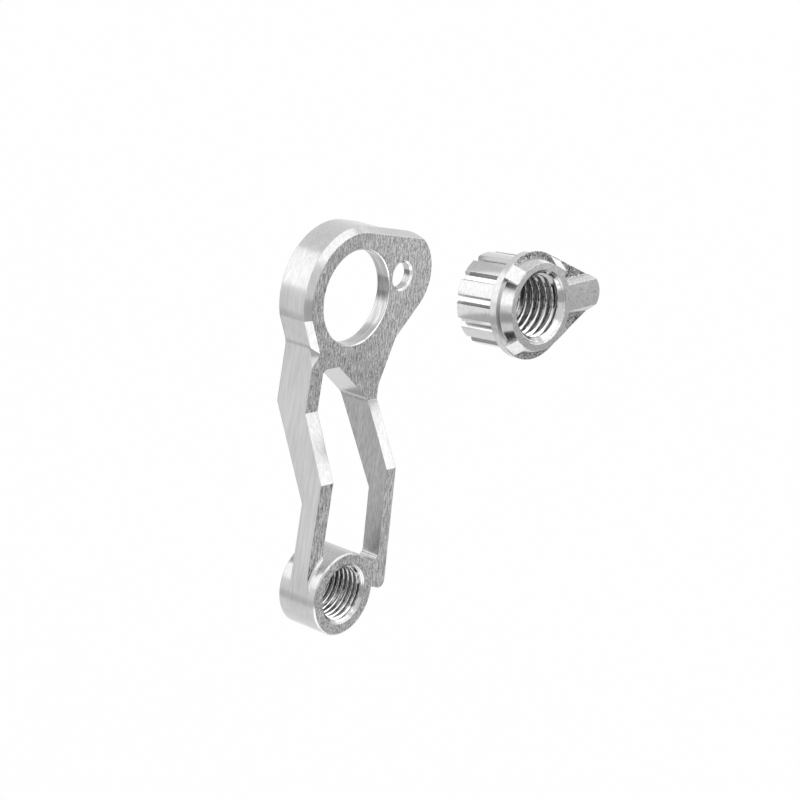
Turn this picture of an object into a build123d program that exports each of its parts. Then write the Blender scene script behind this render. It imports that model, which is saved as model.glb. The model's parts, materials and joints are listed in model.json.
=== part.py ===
from build123d import *
import os
from math import acos, atan2, cos, degrees, hypot, radians, sin, sqrt, tan

os.makedirs("parts", exist_ok=True)

# Derailleur hanger and its axle nut, in millimetres. The origin is on the axle bore's axis, in the
# outer face of the head. X runs across towards the ear, Y inwards to the wheel, Z up.

# Head round the axle bore
bore_r = 8.0
bore_bevel = 0.2
head_wall = 3.8
head_depth = 6.4
web_thick = 2.65
lip_wall = 2.1
rim_bevel = 1.0
crease_angle = 194.5
pocket_x = 5.4
pocket_run = 4.5
pocket_fall = 1.6

# Ear with its screw hole
ear_x = 11.1
ear_z = 2.5
ear_wall = 4.88
ear_thick = 1.6
seat_land = 0.55
screw_r = 2.2
screw_bevel = 0.42

# Right flank, from the ear down to the right leg
flank_angle = 44.0
shoulder_drop = 8.1
shoulder_round = 2.5
waist_angle = 23.0
hip_round = 5.0

# Derailleur boss at the foot, threaded M10 x 1
boss_x = -5.46
boss_drop = 48.12
thread_r = 5.0
thread_lead = 0.22
boss_wall = 2.16
boss_back = 0.0
boss_length = 7.85
boss_bevel = 0.28
boss_round = 0.8

# Legs, in the front view
notch_drop = 7.6
notch_round = 3.0
leg_lean = 4.67
left_width = 2.93
right_x = 7.55
right_width = 2.3
valley_drop = 1.07
runout_drop = 3.2

# Window between the legs, and the web and tab that close it below
window_drop = 11.4
window_x = -2.9
window_slope = 39.2
window_round = 1.1
hip_inner_round = 1.3
web_normal = 62.4
web_round = 1.2
tab_drop = 50.55
tab_slope = 17.5
tab_round = 1.2

# Joggle of the legs, in the side view
joggle = 5.6
leg_thick = 3.5
front_bend_top = 18.28
front_bend_foot = 28.97
back_bend_top = 17.7
back_bend_foot = 32.9

# Axle nut, threaded M12 x 1.5, standing beside the hanger
nut_x = 25.04
nut_y = -19.0
nut_z = -0.13
nut_tilt = 84.43
nut_yaw = -3.7
nut_roll = 3.6
axle_r = 6.0
axle_lead = 0.3
ring_r = 7.45
ring_foot = 8.2
crown_height = 2.0
spoke_width = 2.9
spoke_run = 1.55
spoke_angle = 130.5
spoke_land = 0.08
lug_spoke_shift = 2.15
flange_r = 9.15
flange_thick = 1.35
tip_x = 13.2
tip_r = 3.25
rib_half = 3.25
rib_height = 1.0
rib_slope = 1.0
barrel_gap = 0.05
barrel_length = 8.75
barrel_bevel = 0.3
groove_count = 12
groove_width = 1.75
groove_floor = 0.75
groove_depth = 0.85
groove_angle = 171.4

head_r = bore_r + head_wall
ear_r = screw_r + screw_bevel + ear_wall
boss_r = thread_r + boss_wall
boss_z = -boss_drop
right_in = right_x - right_width
window_z = -window_drop
reach = 2 * (ear_x + ear_r)

# The head and the ear share a straight top edge, tangent to both circles.
top_angle = degrees(atan2(ear_z, ear_x) + acos((head_r - ear_r) / hypot(ear_x, ear_z)))
flank_normal = flank_angle - 90

# The left leg's outer side is tangent to the boss.
leg_nx = -cos(radians(leg_lean))
leg_nz = sin(radians(leg_lean))
leg_offset = leg_nx * boss_x + leg_nz * boss_z + boss_r


def leg_x(z, inset):
    """Where the left leg's side, moved inwards by inset, stands at height z."""
    return (leg_offset - inset - leg_nz * z) / leg_nx


notch = (leg_x(-notch_drop, 0), -notch_drop)
leg_foot = (boss_x + leg_nx * boss_r, boss_z + leg_nz * boss_r)
leg_foot_in = (boss_x + leg_nx * (boss_r - left_width), boss_z + leg_nz * (boss_r - left_width))
flank_x = ear_x + ear_r * cos(radians(flank_normal))
flank_z = ear_z + ear_r * sin(radians(flank_normal))
shoulder = (flank_x - (flank_z + shoulder_drop) / tan(radians(flank_angle)), -shoulder_drop)
hip = (right_x, -shoulder_drop - (shoulder[0] - right_x) / tan(radians(waist_angle)))
tab_corner = (right_x, -tab_drop)
tab_root = (boss_x, -tab_drop + (right_x - boss_x) * tan(radians(tab_slope)))

# Corners of the window
window_left = (leg_x(window_z, left_width), window_z)
window_mid = (window_x, window_z)
window_right = (right_in, window_z - (right_in - window_x) * tan(radians(window_slope)))
web_root = (boss_x + boss_r * cos(radians(web_normal)), boss_z + boss_r * sin(radians(web_normal)))
web_end = (right_in, web_root[1] - (right_in - web_root[0]) / tan(radians(web_normal)))

# The rim's bevel follows the head's edge to the notch, then runs out on the leg's front corner.
crease_x = head_r * cos(radians(crease_angle))
crease_z = head_r * sin(radians(crease_angle))
rim_lean = (notch[0] - crease_x) / (notch[1] - crease_z)
inner_share = 1 - rim_bevel / head_r
valley_z = notch[1] - valley_drop
valley = (inner_share * crease_x + (valley_z - inner_share * crease_z) * rim_lean, valley_z)
runout_z = notch[1] - runout_drop
runout_lean = (leg_x(runout_z, 0) - valley[0]) / (runout_z - valley_z)

# Cutter for the bevel: a slab as deep as the bevel, less the sloping body that it leaves standing
with BuildPart() as bevel_cutter:
    with BuildSketch(Plane.XZ.offset(-rim_bevel)):
        with Locations((0, (head_r - notch_drop - runout_drop) / 2)):
            Rectangle(2 * reach, head_r + notch_drop + runout_drop + rim_bevel)
    extrude(amount=rim_bevel)
    for depth, rim, foot in ((0, head_r - rim_bevel, valley), (rim_bevel, head_r, notch)):
        with BuildSketch(Plane.XZ.offset(-depth)):
            with BuildLine():
                rim_arc = CenterArc((0, 0), rim, top_angle, crease_angle - top_angle)
                top_edge = PolarLine(rim_arc @ 0, 2 * reach, top_angle - 90)
                Polyline(
                    rim_arc @ 1,
                    foot,
                    (foot[0] - reach * runout_lean, foot[1] - reach),
                    (2 * reach, foot[1] - reach),
                    top_edge @ 1,
                )
            make_face()
    loft(ruled=True, mode=Mode.SUBTRACT)

# Outline of the plate in the front view
with BuildSketch(Plane.XZ.offset(-head_depth)) as plate:
    with BuildLine():
        head = CenterArc((0, 0), head_r, top_angle, crease_angle - top_angle)
        ear = CenterArc((ear_x, ear_z), ear_r, flank_normal, top_angle - flank_normal)
        Line(ear @ 1, head @ 0)
        Polyline(head @ 1, notch, leg_foot, tab_root, tab_corner, hip, shoulder, ear @ 0)
    make_face()
    fillet(plate.vertices().sort_by_distance(notch)[0], notch_round)
    fillet(plate.vertices().sort_by_distance(shoulder)[0], shoulder_round)
    fillet(plate.vertices().sort_by_distance(hip)[0], hip_round)
    fillet(plate.vertices().sort_by_distance(tab_corner)[0], tab_round)

# Rounding where the boss rises from the leg, no wider than the leg
with BuildPart() as boss_root:
    with BuildSketch(Plane((boss_x, 0, boss_z), x_dir=(1, 0, 0), z_dir=(0, 0, 1))):
        with BuildLine():
            rise = CenterArc((boss_r + boss_round, -joggle - boss_round), boss_round, 90, 90)
            Polyline(rise @ 1, (thread_r, -joggle - boss_round), (thread_r, -joggle), rise @ 0)
        make_face()
    revolve(axis=Axis((boss_x, 0, boss_z), (0, 1, 0)))
    extrude(plate.sketch, amount=head_depth + joggle + boss_round, mode=Mode.INTERSECT)

with BuildPart() as hanger:
    extrude(plate.sketch, amount=head_depth + joggle)

    # Joggled section in the side view
    with BuildSketch(Plane.YZ):
        with BuildLine():
            Polyline(
                (0, head_r + rim_bevel),
                (0, -front_bend_top),
                (-joggle, -front_bend_foot),
                (-joggle, -tab_drop - boss_r),
                (leg_thick - joggle, -tab_drop - boss_r),
                (leg_thick - joggle, -back_bend_foot),
                (head_depth, -back_bend_top),
                (head_depth, head_r + rim_bevel),
                close=True,
            )
        make_face()
    extrude(amount=reach, both=True, mode=Mode.INTERSECT)
    add(boss_root.part)

    # Window between the legs
    with BuildSketch(Plane.XZ.offset(-head_depth)) as window:
        with BuildLine():
            Polyline(
                window_left, window_mid, window_right, web_end, web_root, leg_foot_in, close=True
            )
        make_face()
        fillet(window.vertices().sort_by_distance(window_left)[0], window_round)
        fillet(window.vertices().sort_by_distance(window_right)[0], hip_inner_round)
        fillet(window.vertices().sort_by_distance(web_end)[0], web_round)
    extrude(amount=head_depth + joggle + boss_round, mode=Mode.SUBTRACT)

    # Boss at the foot, with its thread's bore
    with BuildSketch(Plane.XZ.offset(-boss_back)):
        with Locations((boss_x, boss_z)):
            Circle(boss_r)
    extrude(amount=boss_length)
    chamfer(hanger.edges().filter_by(GeomType.CIRCLE).sort_by(Axis.Y)[0], boss_bevel)
    with BuildSketch(Plane.XZ.offset(-boss_back)):
        with Locations((boss_x, boss_z)):
            Circle(thread_r)
    extrude(amount=boss_length, mode=Mode.SUBTRACT)
    front_edges = hanger.edges().filter_by(GeomType.CIRCLE).group_by(Axis.Y)[0]
    chamfer(front_edges.sort_by(SortBy.RADIUS)[0], thread_lead)

    # Pocket behind the head, open towards the ear
    with BuildSketch(Plane.XZ.offset(-head_depth)):
        Circle(head_r - lip_wall)
        with Locations((pocket_run, -pocket_fall)):
            Circle(bore_r + seat_land)
        make_hull()
        with Locations((pocket_x + reach / 2, reach / 2 - shoulder_drop)):
            Rectangle(reach, reach)
    extrude(amount=head_depth - web_thick, mode=Mode.SUBTRACT)

    # Ear thinned round the bore's seat
    with BuildSketch(Plane.XZ.offset(-web_thick)):
        with Locations((pocket_x + reach / 2, reach / 2 - shoulder_drop)):
            Rectangle(reach, reach)
        Circle(bore_r + seat_land, mode=Mode.SUBTRACT)
    extrude(amount=web_thick - ear_thick, mode=Mode.SUBTRACT)

    # Axle bore and screw hole, bevelled at their mouths
    with BuildSketch(Plane.XZ.offset(-head_depth)):
        Circle(bore_r)
        with Locations((ear_x, ear_z)):
            Circle(screw_r)
    extrude(amount=head_depth, mode=Mode.SUBTRACT)
    with Locations(Plane.XZ.offset(-bore_bevel / 2)):
        Cone(bore_r, bore_r + bore_bevel, bore_bevel, mode=Mode.SUBTRACT)
    with Locations(Plane((ear_x, screw_bevel / 2, ear_z), z_dir=(0, -1, 0))):
        Cone(screw_r, screw_r + screw_bevel, screw_bevel, mode=Mode.SUBTRACT)

    # Bevel along the head's rim
    add(bevel_cutter.part, mode=Mode.SUBTRACT)

nut_plane = Plane(Location((nut_x, nut_y, nut_z), (nut_tilt, nut_yaw, nut_roll)))
flange_plane = nut_plane.offset(-crown_height)
barrel_plane = flange_plane.offset(-flange_thick)
tail_plane = barrel_plane.offset(-barrel_length)
barrel_r = bore_r - barrel_gap

# The lug's straight sides are tangent to the flange and to the tip.
lug_angle = degrees(acos((flange_r - tip_r) / tip_x))
spoke_toe = sqrt(flange_r**2 - (spoke_width / 2) ** 2) - spoke_land


def axial_plane(angle):
    """Plane through the nut's axis: x runs out at an angle from the lug, y runs forwards."""
    return Plane(nut_plane.location * Rot(0, 0, angle) * Rot(90, 0, 0))


# Flange's outline, drawn out to a rounded lug
with BuildSketch(barrel_plane) as flange:
    Circle(flange_r)
    with Locations((tip_x, 0)):
        Circle(tip_r)
    make_hull()

# Crown of the nut: a ring with a sloping wall, and four spokes that slope more
with BuildPart() as crown:
    with Locations(nut_plane.offset(-crown_height / 2)):
        Cone(ring_foot, ring_r, crown_height)
    for angle, shift, toe in (
        (lug_angle, lug_spoke_shift, flange_r - spoke_land),
        (-lug_angle, -lug_spoke_shift, flange_r - spoke_land),
        (spoke_angle, 0, spoke_toe),
        (-spoke_angle, 0, spoke_toe),
    ):
        with BuildSketch(axial_plane(angle).offset(shift)):
            Polygon((0, 0), (0, -crown_height), (toe, -crown_height), (toe - spoke_run, 0), align=None)
        extrude(amount=spoke_width / 2, both=True)

# Raised rib along the lug
with BuildPart() as rib:
    extrude(flange.sketch, amount=flange_thick + rib_height)
    with BuildSketch(Plane(nut_plane.origin, x_dir=nut_plane.y_dir, z_dir=nut_plane.x_dir)):
        with BuildLine():
            Polyline(
                (-rib_half, -crown_height),
                (rib_half, -crown_height),
                (rib_half - rib_slope, rib_height - crown_height),
                (rib_slope - rib_half, rib_height - crown_height),
                close=True,
            )
        make_face()
    extrude(amount=tip_x + tip_r, mode=Mode.INTERSECT)

with BuildPart() as axle_nut:
    extrude(flange.sketch, amount=flange_thick)
    add(crown.part)
    add(rib.part)

    # Grooved barrel, a sliding fit in the hanger's bore
    with BuildSketch(tail_plane):
        Circle(barrel_r)
    extrude(amount=barrel_length)
    chamfer(axle_nut.edges().sort_by(Axis(nut_plane.origin, nut_plane.z_dir))[0], barrel_bevel)
    with BuildSketch(tail_plane):
        with PolarLocations(barrel_r, groove_count, start_angle=groove_angle):
            Polygon(
                (-groove_depth, -groove_floor / 2),
                (groove_depth, groove_floor / 2 - groove_width),
                (groove_depth, groove_width - groove_floor / 2),
                (-groove_depth, groove_floor / 2),
                align=None,
            )
    extrude(amount=barrel_length, mode=Mode.SUBTRACT)

    # Thread's bore, right through
    with BuildSketch(nut_plane):
        Circle(axle_r)
    extrude(amount=-crown_height - flange_thick - barrel_length, mode=Mode.SUBTRACT)
    with Locations(nut_plane.offset(-axle_lead / 2)):
        Cone(axle_r, axle_r + axle_lead, axle_lead, mode=Mode.SUBTRACT)

hanger.part.label = "hanger"
axle_nut.part.label = "axle_nut"
export_step(hanger.part, "parts/hanger.step")
export_step(axle_nut.part, "parts/axle_nut.step")
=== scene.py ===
import json
import math

import bpy
from mathutils import Matrix, Vector


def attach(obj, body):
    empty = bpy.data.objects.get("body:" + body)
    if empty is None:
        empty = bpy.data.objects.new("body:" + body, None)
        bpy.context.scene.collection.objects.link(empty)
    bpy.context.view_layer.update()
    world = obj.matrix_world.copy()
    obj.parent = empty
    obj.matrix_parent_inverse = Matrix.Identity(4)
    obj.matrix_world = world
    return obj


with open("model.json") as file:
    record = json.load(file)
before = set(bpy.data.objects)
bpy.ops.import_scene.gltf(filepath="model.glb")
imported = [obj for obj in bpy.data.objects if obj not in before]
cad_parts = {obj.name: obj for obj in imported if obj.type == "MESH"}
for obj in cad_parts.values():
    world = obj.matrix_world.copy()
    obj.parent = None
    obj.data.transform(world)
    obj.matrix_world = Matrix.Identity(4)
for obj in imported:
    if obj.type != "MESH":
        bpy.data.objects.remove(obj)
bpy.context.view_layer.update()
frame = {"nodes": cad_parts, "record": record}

MM = 0.001
UP = Vector((0, 0, 1))
scene = bpy.context.scene
nodes = frame["nodes"]
mounts = {mount["name"]: mount for mount in frame["record"]["mounts"]}


def bore_axes(mount):
    """Direction into a bore, away from the viewer, with a side and a top square to it."""
    axis = Vector(mount["axis"]).normalized()
    if axis.y < 0:
        axis = -axis
    side = UP.cross(axis).normalized()
    return axis, side, axis.cross(side)


# Shader helpers

UNIT = (0.0, 1.0)
NUMBER_RESULTS = ("DOT_PRODUCT", "LENGTH")


def new_tree(name):
    """A new material with an empty node tree."""
    material = bpy.data.materials.new(name)
    material.use_nodes = True
    tree = material.node_tree
    tree.nodes.clear()
    return material, tree


def feed(tree, socket, value):
    """Set a socket to a constant, or link another socket to it."""
    if isinstance(value, bpy.types.NodeSocket):
        tree.links.new(value, socket)
    else:
        socket.default_value = value


def calc(tree, operation, *values):
    """Maths on numbers."""
    node = tree.nodes.new("ShaderNodeMath")
    node.operation = operation
    for socket, value in zip(node.inputs, values):
        feed(tree, socket, value)
    return node.outputs[0]


def product(tree, first, *others):
    """Numbers multiplied together."""
    result = first
    for other in others:
        result = calc(tree, "MULTIPLY", result, other)
    return result


def vector_calc(tree, operation, *values):
    """Maths on vectors, which gives a vector, or a number for a dot product or a length."""
    node = tree.nodes.new("ShaderNodeVectorMath")
    node.operation = operation
    for socket, value in zip(node.inputs, values):
        feed(tree, socket, value)
    return node.outputs["Value" if operation in NUMBER_RESULTS else "Vector"]


def dot(tree, a, b):
    return vector_calc(tree, "DOT_PRODUCT", a, b)


def spoke(tree, place, mount):
    """The way from a mount's axis to a place, square to the axis."""
    axis = Vector(mount["axis"]).normalized()
    away = vector_calc(tree, "SUBTRACT", place, mount["pos_m"])
    around = vector_calc(tree, "CROSS_PRODUCT", axis, away)
    return vector_calc(tree, "CROSS_PRODUCT", around, axis)


def remap(tree, value, span, to):
    """Smooth step from one number to another as a value goes along its span."""
    node = tree.nodes.new("ShaderNodeMapRange")
    node.interpolation_type = "SMOOTHSTEP"
    feed(tree, node.inputs["Value"], value)
    for name, number in zip(("From Min", "From Max", "To Min", "To Max"), span + to):
        node.inputs[name].default_value = number
    return node.outputs["Result"]


def mask(tree, value, span):
    """Zero at the span's first number and one at its second, whichever is greater."""
    return remap(tree, value, span, UNIT)


def dimmed(tree, light, area, share):
    """A lightness that falls to a share of itself inside an area."""
    return product(tree, light, remap(tree, area, UNIT, (1.0, share)))


def blend(tree, factor, a, b):
    """Mix of two numbers."""
    node = tree.nodes.new("ShaderNodeMix")
    node.data_type = "FLOAT"
    for socket, value in zip((node.inputs[0], node.inputs[2], node.inputs[3]), (factor, a, b)):
        feed(tree, socket, value)
    return node.outputs[0]


def noise(tree, coords, cells, detail, rough):
    """Noise with its own number of cells a millimetre on each axis."""
    mapping = tree.nodes.new("ShaderNodeMapping")
    mapping.inputs["Scale"].default_value = [count / MM for count in cells]
    tree.links.new(coords, mapping.inputs["Vector"])
    node = tree.nodes.new("ShaderNodeTexNoise")
    node.inputs["Scale"].default_value = 1.0
    node.inputs["Detail"].default_value = detail
    node.inputs["Roughness"].default_value = rough
    tree.links.new(mapping.outputs["Vector"], node.inputs["Vector"])
    return node.outputs["Fac"]


def surface(tree):
    """Place on the object, and the face's normal."""
    place = tree.nodes.new("ShaderNodeTexCoord").outputs["Object"]
    normal = tree.nodes.new("ShaderNodeNewGeometry").outputs["True Normal"]
    return place, normal


def parts(tree, vector):
    """A vector's X, Y and Z."""
    node = tree.nodes.new("ShaderNodeSeparateXYZ")
    tree.links.new(vector, node.inputs[0])
    return node.outputs


CORNER_SAMPLES = 12
CORNER_SPAN = (0.25, 0.60)


def corner_shade(tree, reach, darkest):
    """One in the open, falling to the darkest in tight corners."""
    node = tree.nodes.new("ShaderNodeAmbientOcclusion")
    node.samples = CORNER_SAMPLES
    node.only_local = True
    node.inputs["Distance"].default_value = reach
    return remap(tree, node.outputs["AO"], CORNER_SPAN, (darkest, 1.0))


EDGE_RADIUS = 0.13 * MM
EDGE_SAMPLES = 8
GRAIN_DEPTH = 0.03 * MM


def metal(material, tree, light, rough, height, strength):
    """Finish a metal: a grey of that lightness, softened edges and a grain of that height."""
    edges = tree.nodes.new("ShaderNodeBevel")
    edges.samples = EDGE_SAMPLES
    edges.inputs["Radius"].default_value = EDGE_RADIUS
    bump = tree.nodes.new("ShaderNodeBump")
    bump.inputs["Strength"].default_value = strength
    bump.inputs["Distance"].default_value = GRAIN_DEPTH
    tree.links.new(height, bump.inputs["Height"])
    tree.links.new(edges.outputs["Normal"], bump.inputs["Normal"])
    colour = tree.nodes.new("ShaderNodeCombineColor")
    for socket in colour.inputs:
        tree.links.new(light, socket)
    shader = tree.nodes.new("ShaderNodeBsdfPrincipled")
    shader.inputs["Metallic"].default_value = 1.0
    tree.links.new(colour.outputs["Color"], shader.inputs["Base Color"])
    tree.links.new(rough, shader.inputs["Roughness"])
    tree.links.new(bump.outputs["Normal"], shader.inputs["Normal"])
    output = tree.nodes.new("ShaderNodeOutputMaterial")
    tree.links.new(shader.outputs["BSDF"], output.inputs["Surface"])
    return material


# Spans of a noise's value that are stretched to a full range of lightness or roughness

GRAIN_SPAN = (0.35, 0.65)
LINE_SPAN = (0.30, 0.70)
PIT_SPAN = (0.36, 0.64)
ROUGH_SPAN = (0.25, 0.75)


# The hanger's metal: where each finish, painted shade and painted highlight sets in, then its lightness
# and roughness

FRONT_FACING = (0.93, 0.985)
RING_Y = (-7.4 * MM, -7.7 * MM)
FOOT_X = (1.0 * MM, 2.0 * MM)
FOOT_Z = (-22.0 * MM, -25.0 * MM)
WINDOW_X = (3.0 * MM, 4.0 * MM)
WINDOW_Z = (-11.0 * MM, -14.0 * MM)
WINDOW_FACING = (-0.8, -0.95)
NOTCH_NORMAL = Vector((-0.36, -0.88, 0.31)).normalized()
NOTCH_FACING = (0.96, 0.99)
NOTCH_Z = (-9.6 * MM, -8.4 * MM)
BOSS_X = (3.0 * MM, 2.0 * MM)
BOSS_Z = (-38.0 * MM, -40.0 * MM)
BOSS_FACING = (0.55, 0.85)
HIGHLIT_EDGES_MM = {"axle_bore": 0.2, "keeper_screw_hole": 0.42}
BORE_WALL_MM = (0.1, 0.05)

MILLED_SPECKS = 0.42
RING_SPECKS = 0.9
FRONT_LIGHT = (0.19, 0.89)
RING_LIGHT = (0.29, 0.77)
FOOT_LIGHT = (0.31, 0.89)
SIDE_LIGHT = (0.53, 0.605)
BORE_WALL_SHADE = (0.38, 0.58)
EDGE_HIGHLIGHT = 0.95
WINDOW_WALL_SHADE = (0.60, 0.78)
NOTCH_ROOT_SHADE = 0.5
BOSS_TOP_SHADE = 0.81
CLOUD_SHARE = (0.96, 1.03)
FRONT_ROUGH = (0.44, 0.30)
SIDE_ROUGH = (0.23, 0.20)
SIDE_DEPTH = 0.06


def hanger_metal():
    """Milled aluminium: front and back faces with a fine upright grain, smoother sides."""
    material, tree = new_tree("hanger_milled_aluminium")
    place, normal = surface(tree)
    where = parts(tree, place)
    facing = parts(tree, normal)
    hairs = noise(tree, place, cells=(4.6, 4.6, 0.62), detail=2.0, rough=0.6)
    specks = noise(tree, place, cells=(5.0, 5.0, 2.2), detail=2.0, rough=0.6)
    clouds = noise(tree, place, cells=(0.16, 0.16, 0.10), detail=2.0, rough=0.5)
    side_lines = noise(tree, place, cells=(2.2, 2.2, 0.07), detail=3.0, rough=0.55)
    bore_lines = noise(tree, place, cells=(0.25, 2.6, 0.25), detail=2.0, rough=0.6)

    # The grain on the boss's ring is finer and fainter.
    ring = mask(tree, where["Y"], RING_Y)
    grain = blend(tree, blend(tree, ring, MILLED_SPECKS, RING_SPECKS), hairs, specks)
    front_light = remap(tree, grain, GRAIN_SPAN, FRONT_LIGHT)
    front_light = blend(tree, ring, front_light, remap(tree, grain, GRAIN_SPAN, RING_LIGHT))

    # The right leg's foot is lighter than the other front faces.
    off_ring = calc(tree, "SUBTRACT", 1.0, ring)
    foot = product(tree, mask(tree, where["X"], FOOT_X), mask(tree, where["Z"], FOOT_Z), off_ring)
    front_light = blend(tree, foot, front_light, remap(tree, grain, GRAIN_SPAN, FOOT_LIGHT))

    # Painted shade: the right leg's wall inside the window is darker than the other sides.
    side_light = remap(tree, side_lines, LINE_SPAN, SIDE_LIGHT)
    inward = mask(tree, facing["X"], WINDOW_FACING)
    window = product(tree, mask(tree, where["X"], WINDOW_X), mask(tree, where["Z"], WINDOW_Z), inward)
    window_wall_shade = blend(tree, window, 1.0, remap(tree, hairs, GRAIN_SPAN, WINDOW_WALL_SHADE))
    side_light = product(tree, side_light, window_wall_shade)

    # Painted shade at the root of the notch below the rim.
    notch = mask(tree, dot(tree, normal, NOTCH_NORMAL), NOTCH_FACING)
    root = product(tree, notch, mask(tree, where["Z"], NOTCH_Z))
    side_light = dimmed(tree, side_light, root, NOTCH_ROOT_SHADE)

    # Painted shade: the boss's top is darker than its sides.
    upward = mask(tree, facing["Z"], BOSS_FACING)
    shaded_boss_top = product(tree, mask(tree, where["X"], BOSS_X), mask(tree, where["Z"], BOSS_Z), upward)
    side_light = dimmed(tree, side_light, shaded_boss_top, BOSS_TOP_SHADE)

    # Painted highlights on the edges of the axle bore and the screw hole, and painted shade on their
    # walls.
    for name, rim in HIGHLIT_EDGES_MM.items():
        radius = mounts[name]["dims"]["r_mm"]
        distance = vector_calc(tree, "LENGTH", spoke(tree, place, mounts[name]))
        highlit_edge = mask(tree, distance, ((radius + 2 * rim) * MM, (radius + rim) * MM))
        wall = mask(tree, distance, tuple((radius + beyond) * MM for beyond in BORE_WALL_MM))
        side_light = blend(tree, highlit_edge, side_light, EDGE_HIGHLIGHT)
        side_light = blend(tree, wall, side_light, remap(tree, bore_lines, LINE_SPAN, BORE_WALL_SHADE))

    faced = mask(tree, calc(tree, "ABSOLUTE", facing["Y"]), FRONT_FACING)
    light = blend(tree, faced, side_light, front_light)
    cloud_share = remap(tree, clouds, LINE_SPAN, CLOUD_SHARE)
    light = product(tree, light, cloud_share, corner_shade(tree, reach=1.0 * MM, darkest=0.80))
    front_rough = remap(tree, grain, ROUGH_SPAN, FRONT_ROUGH)
    side_rough = remap(tree, side_lines, ROUGH_SPAN, SIDE_ROUGH)
    rough = blend(tree, faced, side_rough, front_rough)
    height = blend(tree, faced, product(tree, side_lines, SIDE_DEPTH), grain)
    return metal(material, tree, light, rough, height, strength=0.45)


# The nut's metal: where each finish, painted shade and painted highlight sets in, then its lightness and
# roughness

NUT_AXIS = -Vector(mounts["axle_thread"]["axis"])
NUT_MIDDLE = Vector(mounts["axle_thread"]["pos_m"])
FLANGE_ABOVE = 4.2 * MM
FLANGE_FRONT = (FLANGE_ABOVE + 0.5 * MM, FLANGE_ABOVE + 0.1 * MM)
BARREL_ABOVE = (FLANGE_ABOVE - 1.2 * MM, FLANGE_ABOVE - 1.5 * MM)
FLOOR_INSIDE_BORE_MM = 0.9
GROOVE_FLOOR_R = (mounts["axle_bore"]["dims"]["r_mm"] - FLOOR_INSIDE_BORE_MM) * MM
GROOVE_FLOOR = (GROOVE_FLOOR_R + 0.3 * MM, GROOVE_FLOOR_R + 0.1 * MM)
GROOVE_STEEP = (0.92, 0.70)
HIGHLIT_GROOVE_Z = (-3.6 * MM, -4.8 * MM)
LAST_GROOVE_Z = (-5.6 * MM, -6.4 * MM)
NUT_FACING = (0.5, 0.9)
FLANGE_LEFT_X = (22.0 * MM, 18.0 * MM)

NUT_SPECKS = 0.3
NUT_LIGHT = (0.53, 0.64)
LAND_SHARE = 1.06
GROOVE_FLOOR_HIGHLIGHT = 0.95
SHADED_WALL = 0.40
HIGHLIT_WALL = 0.90
PITS_AND_SHADE_LIGHT = (0.02, 0.60)
FLANGE_LEFT_HIGHLIGHT = 0.78
SPECKLE_SHARE = (0.80, 1.16)
NUT_ROUGH = (0.24, 0.16)
PITTED_ROUGH = 0.34


def nut_metal():
    """Turned aluminium, bright, with a pitted finish on the flange's front that is also darkened as
    painted shade, and painted light and shade on the barrel's grooves.
    """
    material, tree = new_tree("nut_turned_aluminium")
    place, normal = surface(tree)
    where = parts(tree, place)
    marks = noise(tree, place, cells=(1.1, 3.6, 1.1), detail=3.0, rough=0.55)
    specks = noise(tree, place, cells=(5.0, 5.0, 5.0), detail=2.0, rough=0.6)
    pits = noise(tree, place, cells=(4.0, 4.0, 4.0), detail=2.0, rough=0.6)
    grain = blend(tree, NUT_SPECKS, marks, specks)
    bright = remap(tree, grain, LINE_SPAN, NUT_LIGHT)

    # Painted light on the barrel's grooves: painted highlights on their floors, and painted shade on
    # their walls, apart from one groove low down whose walls get a painted highlight.
    above = calc(tree, "SUBTRACT", dot(tree, place, NUT_AXIS), NUT_MIDDLE.dot(NUT_AXIS))
    barrel = mask(tree, above, BARREL_ABOVE)
    ray = spoke(tree, place, mounts["axle_thread"])
    floor = mask(tree, vector_calc(tree, "LENGTH", ray), GROOVE_FLOOR)
    steep = mask(tree, dot(tree, normal, vector_calc(tree, "NORMALIZE", ray)), GROOVE_STEEP)
    wall_light_and_shade = remap(tree, where["Z"], HIGHLIT_GROOVE_Z, (SHADED_WALL, HIGHLIT_WALL))
    wall_light_and_shade = blend(tree, mask(tree, where["Z"], LAST_GROOVE_Z), wall_light_and_shade, SHADED_WALL)
    lands = product(tree, bright, LAND_SHARE)
    grooved = blend(tree, steep, blend(tree, floor, lands, GROOVE_FLOOR_HIGHLIGHT), wall_light_and_shade)
    bright = blend(tree, barrel, bright, grooved)

    # The flange's front is pitted and also darkened as painted shade; on the left, away from its lug, it
    # gets a painted highlight.
    front = mask(tree, dot(tree, normal, NUT_AXIS), NUT_FACING)
    pitted_and_shaded = product(tree, mask(tree, above, FLANGE_FRONT), front)
    left = mask(tree, where["X"], FLANGE_LEFT_X)
    pits_and_shade = blend(tree, left, remap(tree, pits, PIT_SPAN, PITS_AND_SHADE_LIGHT), FLANGE_LEFT_HIGHLIGHT)

    # The other faces that look forwards are speckled.
    speckle_share = blend(tree, front, 1.0, remap(tree, pits, PIT_SPAN, SPECKLE_SHARE))
    light = blend(tree, pitted_and_shaded, product(tree, bright, speckle_share), pits_and_shade)
    light = product(tree, light, corner_shade(tree, reach=0.6 * MM, darkest=0.2))
    rough = blend(tree, pitted_and_shaded, remap(tree, grain, LINE_SPAN, NUT_ROUGH), PITTED_ROUGH)
    height = blend(tree, pitted_and_shaded, grain, pits)
    return metal(material, tree, light, rough, height, strength=0.25)


# The threads' metal: where each finish and painted shade sets in, then its lightness and roughness

FLANK_FACING = (-0.6, -0.8)
FLANK_SPREAD = (0.3, 0.9)
CONE_MM = (0.12, 0.04)

THREAD_LIGHT = (0.82, 0.94)
FLANK_SHADE = 0.52
CONE_SHADE = 0.58
THREAD_ROUGH = (0.14, 0.08)


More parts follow.
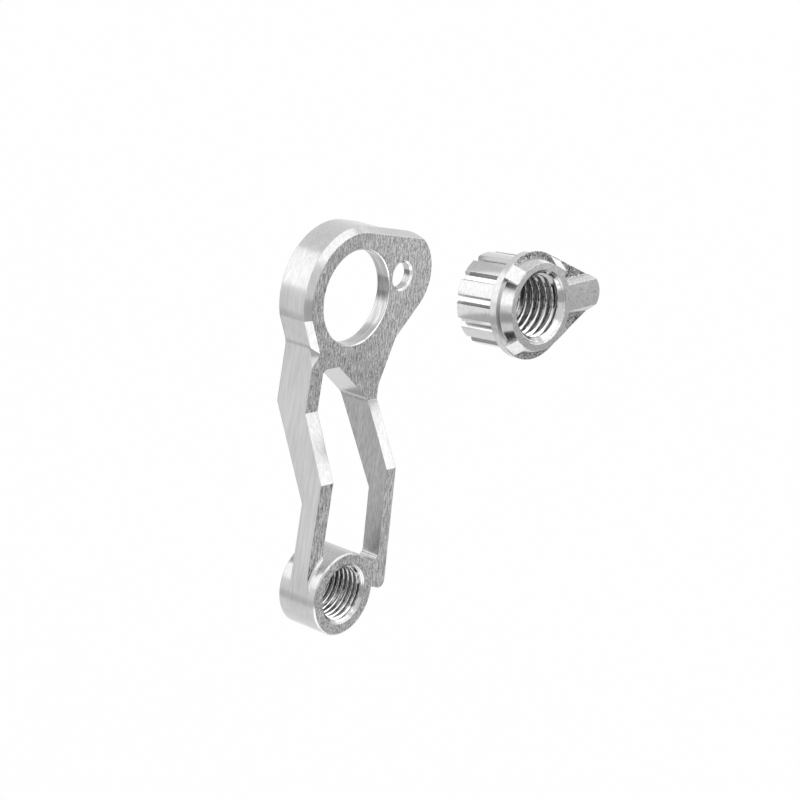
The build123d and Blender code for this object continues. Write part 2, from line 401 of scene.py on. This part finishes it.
def thread_metal(name, mount):
    """Cut thread, bright, with painted shade on its coned mouth and on its flanks on the upper right."""
    material, tree = new_tree(name)
    place, normal = surface(tree)
    grain = noise(tree, place, cells=(2.4, 2.4, 2.4), detail=3.0, rough=0.55)
    light = remap(tree, grain, LINE_SPAN, THREAD_LIGHT)

    # Painted shade: the flanks that face the viewer are darkened on the upper right.
    axis, side, top = bore_axes(mount)
    ray = spoke(tree, place, mount)
    flank = mask(tree, dot(tree, normal, axis), FLANK_FACING)
    upper_right = mask(tree, dot(tree, vector_calc(tree, "NORMALIZE", ray), top - side), FLANK_SPREAD)
    light = blend(tree, product(tree, flank, upper_right), light, FLANK_SHADE)

    # On the coned mouth, the distance from the axis and the depth add up to the bore's radius.
    radius = mount["dims"]["r_mm"]
    mouth = axis.dot(Vector(mount["pos_m"])) - mount["dims"]["length_mm"] / 2 * MM
    depth = calc(tree, "SUBTRACT", dot(tree, place, axis), mouth)
    total = calc(tree, "ADD", vector_calc(tree, "LENGTH", ray), depth)
    coned = mask(tree, total, tuple((radius + beyond) * MM for beyond in CONE_MM))
    # Painted shade on the coned mouth.
    light = blend(tree, coned, light, CONE_SHADE)
    rough = remap(tree, grain, LINE_SPAN, THREAD_ROUGH)
    return metal(material, tree, light, rough, grain, strength=0.06)


# The studio's papers

def matte(name, tone):
    """Plain paper for the floor and the cards."""
    material, tree = new_tree(name)
    shader = tree.nodes.new("ShaderNodeBsdfDiffuse")
    shader.inputs["Color"].default_value = (tone, tone, tone, 1.0)
    output = tree.nodes.new("ShaderNodeOutputMaterial")
    tree.links.new(shader.outputs["BSDF"], output.inputs["Surface"])
    return material


def glow(name, level):
    """Lit paper, seen from its front only."""
    material, tree = new_tree(name)
    side = tree.nodes.new("ShaderNodeNewGeometry")
    front = tree.nodes.new("ShaderNodeEmission")
    front.inputs["Strength"].default_value = level
    back = tree.nodes.new("ShaderNodeBsdfTransparent")
    mix = tree.nodes.new("ShaderNodeMixShader")
    tree.links.new(side.outputs["Backfacing"], mix.inputs["Fac"])
    tree.links.new(front.outputs["Emission"], mix.inputs[1])
    tree.links.new(back.outputs["BSDF"], mix.inputs[2])
    output = tree.nodes.new("ShaderNodeOutputMaterial")
    tree.links.new(mix.outputs["Shader"], output.inputs["Surface"])
    return material


# The two solids

for node_name, node_metal in (("hanger", hanger_metal()), ("axle_nut", nut_metal())):
    for slot in nodes[node_name].material_slots:
        slot.material = node_metal


# Threads, which the solids leave as plain bores, in millimetres

TURN_STEPS = 180
PITCH_STEPS = 24
SUNK = 0.05
MARGIN = 0.02
ROOT_CLEARANCE = 0.01
SHARP_DEGREES = 50


def dress(obj, material):
    obj.data.materials.clear()
    obj.data.materials.append(material)


def thread_radius(phase, pitch, major):
    """Radius of a sixty-degree internal thread at a phase of its pitch, with flat root and crest."""
    sharp = pitch * math.cos(math.radians(30))
    depth = sharp * 5 / 8
    along = abs(2 * (phase % 1.0) - 1) * pitch / 2
    root = pitch / 16
    crest = pitch * 3 / 8
    share = min(max((along - root) / (crest - root), 0.0), 1.0)
    return major - depth * share


def thread_sleeve(name, mount, lead, pitch, start):
    """A closed sleeve in a mount's plain bore, cut inside with a right-hand thread.
    It runs in from a mouth coned by lead, and is coned again at its far end."""
    length = mount["dims"]["length_mm"] + lead
    major = mount["dims"]["r_mm"]
    axis, side, top = bore_axes(mount)
    centre = Vector(mount["pos_m"]) / MM - axis * (length + lead) / 2
    wall = major + SUNK
    first = lead - SUNK + MARGIN
    last = length - MARGIN
    rows = int((last - first) / pitch * PITCH_STEPS)

    def ring_point(s, turn, r):
        angle = 2 * math.pi * turn / TURN_STEPS
        return (centre + axis * s + (side * math.cos(angle) + top * math.sin(angle)) * r) * MM

    verts = []
    for i in range(rows + 1):
        s = first + (last - first) * i / rows
        cone = max(major + lead - s, major + s - length)
        for j in range(TURN_STEPS):
            r = thread_radius(s / pitch - j / TURN_STEPS + start, pitch, major - ROOT_CLEARANCE)
            verts.append(ring_point(s, j, min(max(r, cone), wall - MARGIN)))
    outer = len(verts)
    far = outer + TURN_STEPS
    for s in (first, last):
        verts += [ring_point(s, j, wall) for j in range(TURN_STEPS)]
    faces = []
    end = rows * TURN_STEPS
    for j in range(TURN_STEPS):
        k = (j + 1) % TURN_STEPS
        for a in range(0, end, TURN_STEPS):
            b = a + TURN_STEPS
            faces.append((a + j, b + j, b + k, a + k))
        faces.append((outer + j, outer + k, far + k, far + j))
        faces.append((j, k, outer + k, outer + j))
        faces.append((end + k, end + j, far + j, far + k))

    mesh = bpy.data.meshes.new(name)
    mesh.from_pydata(verts, [], faces)
    mesh.validate()
    mesh.polygons.foreach_set("use_smooth", [True] * len(mesh.polygons))
    mesh.set_sharp_from_angle(angle=math.radians(SHARP_DEGREES))
    mesh.update()
    obj = bpy.data.objects.new(name, mesh)
    scene.collection.objects.link(obj)
    dress(obj, thread_metal(name + "_aluminium", mount))
    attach(obj, "root")
    return obj


boss_thread = thread_sleeve("boss_thread", mounts["derailleur_thread"], lead=0.22, pitch=1.0, start=0.3)
nut_thread = thread_sleeve("nut_thread", mounts["axle_thread"], lead=0.3, pitch=1.5, start=0.1)


# Studio, in metres

AIM = Vector((0.012, -0.006, -0.022))
FLOOR_Z = -0.30
FLOOR_SIZE = 6.0
TO_RIGHT = (1, 0, 0)
TO_LEFT = (-1, 0, 0)
INWARDS = (0, 1, 0)
WHITE = 0.995
DARK = 0.02


def sheet(name, corners, material):
    """A flat sheet of the stage, its front where its corners go round to the left."""
    mesh = bpy.data.meshes.new(name)
    mesh.from_pydata(corners, [], [range(len(corners))])
    obj = bpy.data.objects.new(name, mesh)
    scene.collection.objects.link(obj)
    dress(obj, material)
    return obj


def panel(name, centre, right, up, width, height, material):
    """A rectangular sheet."""
    centre = Vector(centre)
    right = Vector(right).normalized() * width / 2
    up = Vector(up).normalized() * height / 2
    corners = [centre - right - up, centre + right - up, centre + right + up, centre - right + up]
    return sheet(name, corners, material)


def mirrored_only(obj):
    """Let the metal mirror a card that the camera doesn't see and that throws no shadow."""
    obj.visible_camera = False
    obj.visible_shadow = False
    obj.visible_diffuse = False


def towards(azimuth, elevation):
    """Unit vector at an azimuth and an elevation in degrees."""
    turn = math.radians(azimuth)
    rise = math.radians(elevation)
    return Vector((math.cos(turn) * math.cos(rise), math.sin(turn) * math.cos(rise), math.sin(rise)))


def card(name, azimuth, distance, width, low, high, tone):
    """An upright grey card, its lower and upper edges at an elevation seen from the object."""
    outwards = towards(azimuth, 0)
    bottom = distance * math.tan(math.radians(low))
    top = distance * math.tan(math.radians(high))
    centre = AIM + outwards * distance + UP * (bottom + top) / 2
    mirrored_only(panel(name, centre, UP.cross(outwards), UP, width, top - bottom, matte(name, tone)))


def lit_sheet(name, centre, right, width, height, level):
    """An upright lit sheet, with its front where right and up put it."""
    mirrored_only(panel(name, centre, right, UP, width, height, glow(name, level)))


def softbox(name, direction, distance, width, height, level):
    """An area lamp of a given brightness, turned to the object."""
    direction = Vector(direction).normalized()
    data = bpy.data.lights.new(name, "AREA")
    data.shape = "RECTANGLE"
    data.size = width
    data.size_y = height
    data.energy = level * math.pi * width * height
    obj = bpy.data.objects.new(name, data)
    obj.location = AIM + direction * distance
    obj.rotation_mode = "QUATERNION"
    obj.rotation_quaternion = direction.to_track_quat("Z", "Y")
    obj.visible_camera = False
    obj.visible_diffuse = False
    scene.collection.objects.link(obj)


panel("floor", (0, 0, FLOOR_Z), TO_RIGHT, INWARDS, FLOOR_SIZE, FLOOR_SIZE, matte("floor_paper", WHITE))

card("card_front", azimuth=-38, distance=0.26, width=0.44, low=-32, high=2, tone=0.60)
card("card_between", azimuth=-94, distance=0.24, width=0.14, low=-48, high=7, tone=DARK)
card("card_near", azimuth=-129, distance=0.22, width=0.15, low=-32, high=-1, tone=0.56)
card("card_left", azimuth=180, distance=0.24, width=0.16, low=-34, high=-8, tone=0.45)
card("card_back", azimuth=135, distance=0.25, width=0.09, low=-35, high=-21, tone=0.70)
card("card_under", azimuth=-54, distance=0.16, width=0.13, low=-60, high=-42, tone=DARK)

# A dark strip behind the head, which shows in the bore's wall only
strip = panel("strip", centre=(-0.0227, 0.0345, -0.0152), right=(0.656, 0, -0.754), up=(0.754, 0, 0.656),
              width=0.033, height=0.012, material=matte("strip", DARK))
mirrored_only(strip)

# Sheets between the two pieces, so that neither mirrors the other
lit_sheet("sheet_high", (0.004, -0.0022, 0.0095), TO_RIGHT, width=0.028, height=0.016, level=1.55)
lit_sheet("sheet_low", (0.004, -0.0022, -0.0035), TO_RIGHT, width=0.028, height=0.010, level=1.15)
lit_sheet("sheet_foot", (0.004, -0.0022, -0.0120), TO_RIGHT, width=0.028, height=0.007, level=0.60)
lit_sheet("sheet_right", (0.021, -0.0022, 0.0095), TO_RIGHT, width=0.006, height=0.016, level=0.75)
lit_sheet("sheet_ear", (0.024, -0.0045, -0.002), TO_LEFT, width=0.026, height=0.024, level=0.76)

# A dark disc behind each threaded bore, a little below its axis, which the thread's flats mirror; it
# stands in for shade inside the bore
DISC_CORNERS = 48
DISC_LEVEL = 0.03
DISC_PLACE = 0.51
DISC_WIDTH = 1.04
DISC_DROP = 0.25

for mount_name in ("derailleur_thread", "axle_thread"):
    bore = mounts[mount_name]
    axis, side, top = bore_axes(bore)
    disc_r = bore["dims"]["r_mm"] * DISC_WIDTH * MM
    behind = Vector(bore["pos_m"]) + axis * bore["dims"]["length_mm"] * DISC_PLACE * MM
    behind -= top * disc_r * DISC_DROP
    turns = [2 * math.pi * i / DISC_CORNERS for i in range(DISC_CORNERS)]
    corners = [behind + (side * math.sin(turn) + top * math.cos(turn)) * disc_r for turn in turns]
    mirrored_only(sheet(mount_name + "_shade_disc", corners, glow(mount_name + "_shade_disc", DISC_LEVEL)))

# Small dark cards that darken the ends of the nut's ring wall
SHADE_DISTANCE = 0.012
SHADE_SIZE = 0.006

for name, place, azimuth, elevation in (("shade_high", (0.0184, -0.0164, 0.0041), 164, 50),
                                        ("shade_low", (0.0185, -0.0176, -0.0046), 170, -67)):
    outwards = towards(azimuth, elevation)
    right = UP.cross(outwards).normalized()
    centre = Vector(place) + outwards * SHADE_DISTANCE
    shade = panel(name, centre, right, outwards.cross(right), SHADE_SIZE, SHADE_SIZE, matte(name, DARK))
    mirrored_only(shade)

softbox("key", direction=(0.66, -0.62, 0.44), distance=0.60, width=0.60, height=0.40, level=0.75)
softbox("over", direction=(-0.27, -0.52, 0.80), distance=0.60, width=0.36, height=0.36, level=0.75)
softbox("high", direction=(0.32, -0.46, 0.83), distance=0.60, width=0.36, height=0.32, level=0.70)
softbox("notch", direction=(0.08, -0.95, 0.29), distance=0.40, width=0.09, height=0.09, level=0.50)
softbox("rim", direction=(-0.62, 0.62, 0.46), distance=0.60, width=0.46, height=0.46, level=0.65)
softbox("bounce", direction=(-0.27, -0.52, -0.80), distance=0.26, width=0.16, height=0.16, level=0.9)
softbox("left", direction=(-0.94, 0.0, 0.34), distance=0.40, width=0.24, height=0.20, level=0.7)
softbox("below", direction=(0.15, -0.23, -0.96), distance=0.24, width=0.12, height=0.12, level=0.45)
softbox("corner", direction=(-0.91, 0.41, -0.02), distance=0.40, width=0.08, height=0.08, level=0.5)
softbox("side", direction=(0.87, 0.39, 0.31), distance=0.50, width=0.24, height=0.24, level=0.5)

world = bpy.data.worlds.new("white_studio")
world.use_nodes = True
sky = world.node_tree.nodes["Background"]
sky.inputs["Color"].default_value = (1.0, 1.0, 1.0, 1.0)
sky.inputs["Strength"].default_value = 1.0
scene.world = world


# Camera, at the photograph's angle

CAMERA_RIGHT = (0.645467, -0.757369, 0.098812)
CAMERA_UP = (0.141372, 0.245603, 0.959006)
CAMERA_BACK = (-0.750590, -0.605038, 0.265599)
CAMERA_PLACE = (-0.292499, -0.246890, 0.088896)
LENS_MM = 108.0
SENSOR_MM = 36.0
NEAREST = 0.01
FARTHEST = 50.0

camera_data = bpy.data.cameras.new("camera")
camera_data.lens = LENS_MM
camera_data.sensor_width = SENSOR_MM
camera_data.clip_start = NEAREST
camera_data.clip_end = FARTHEST
camera = bpy.data.objects.new("camera", camera_data)
scene.collection.objects.link(camera)
camera.matrix_world = Matrix((CAMERA_RIGHT, CAMERA_UP, CAMERA_BACK)).transposed().to_4x4()
camera.location = CAMERA_PLACE
scene.camera = camera

scene.view_settings.view_transform = "Standard"
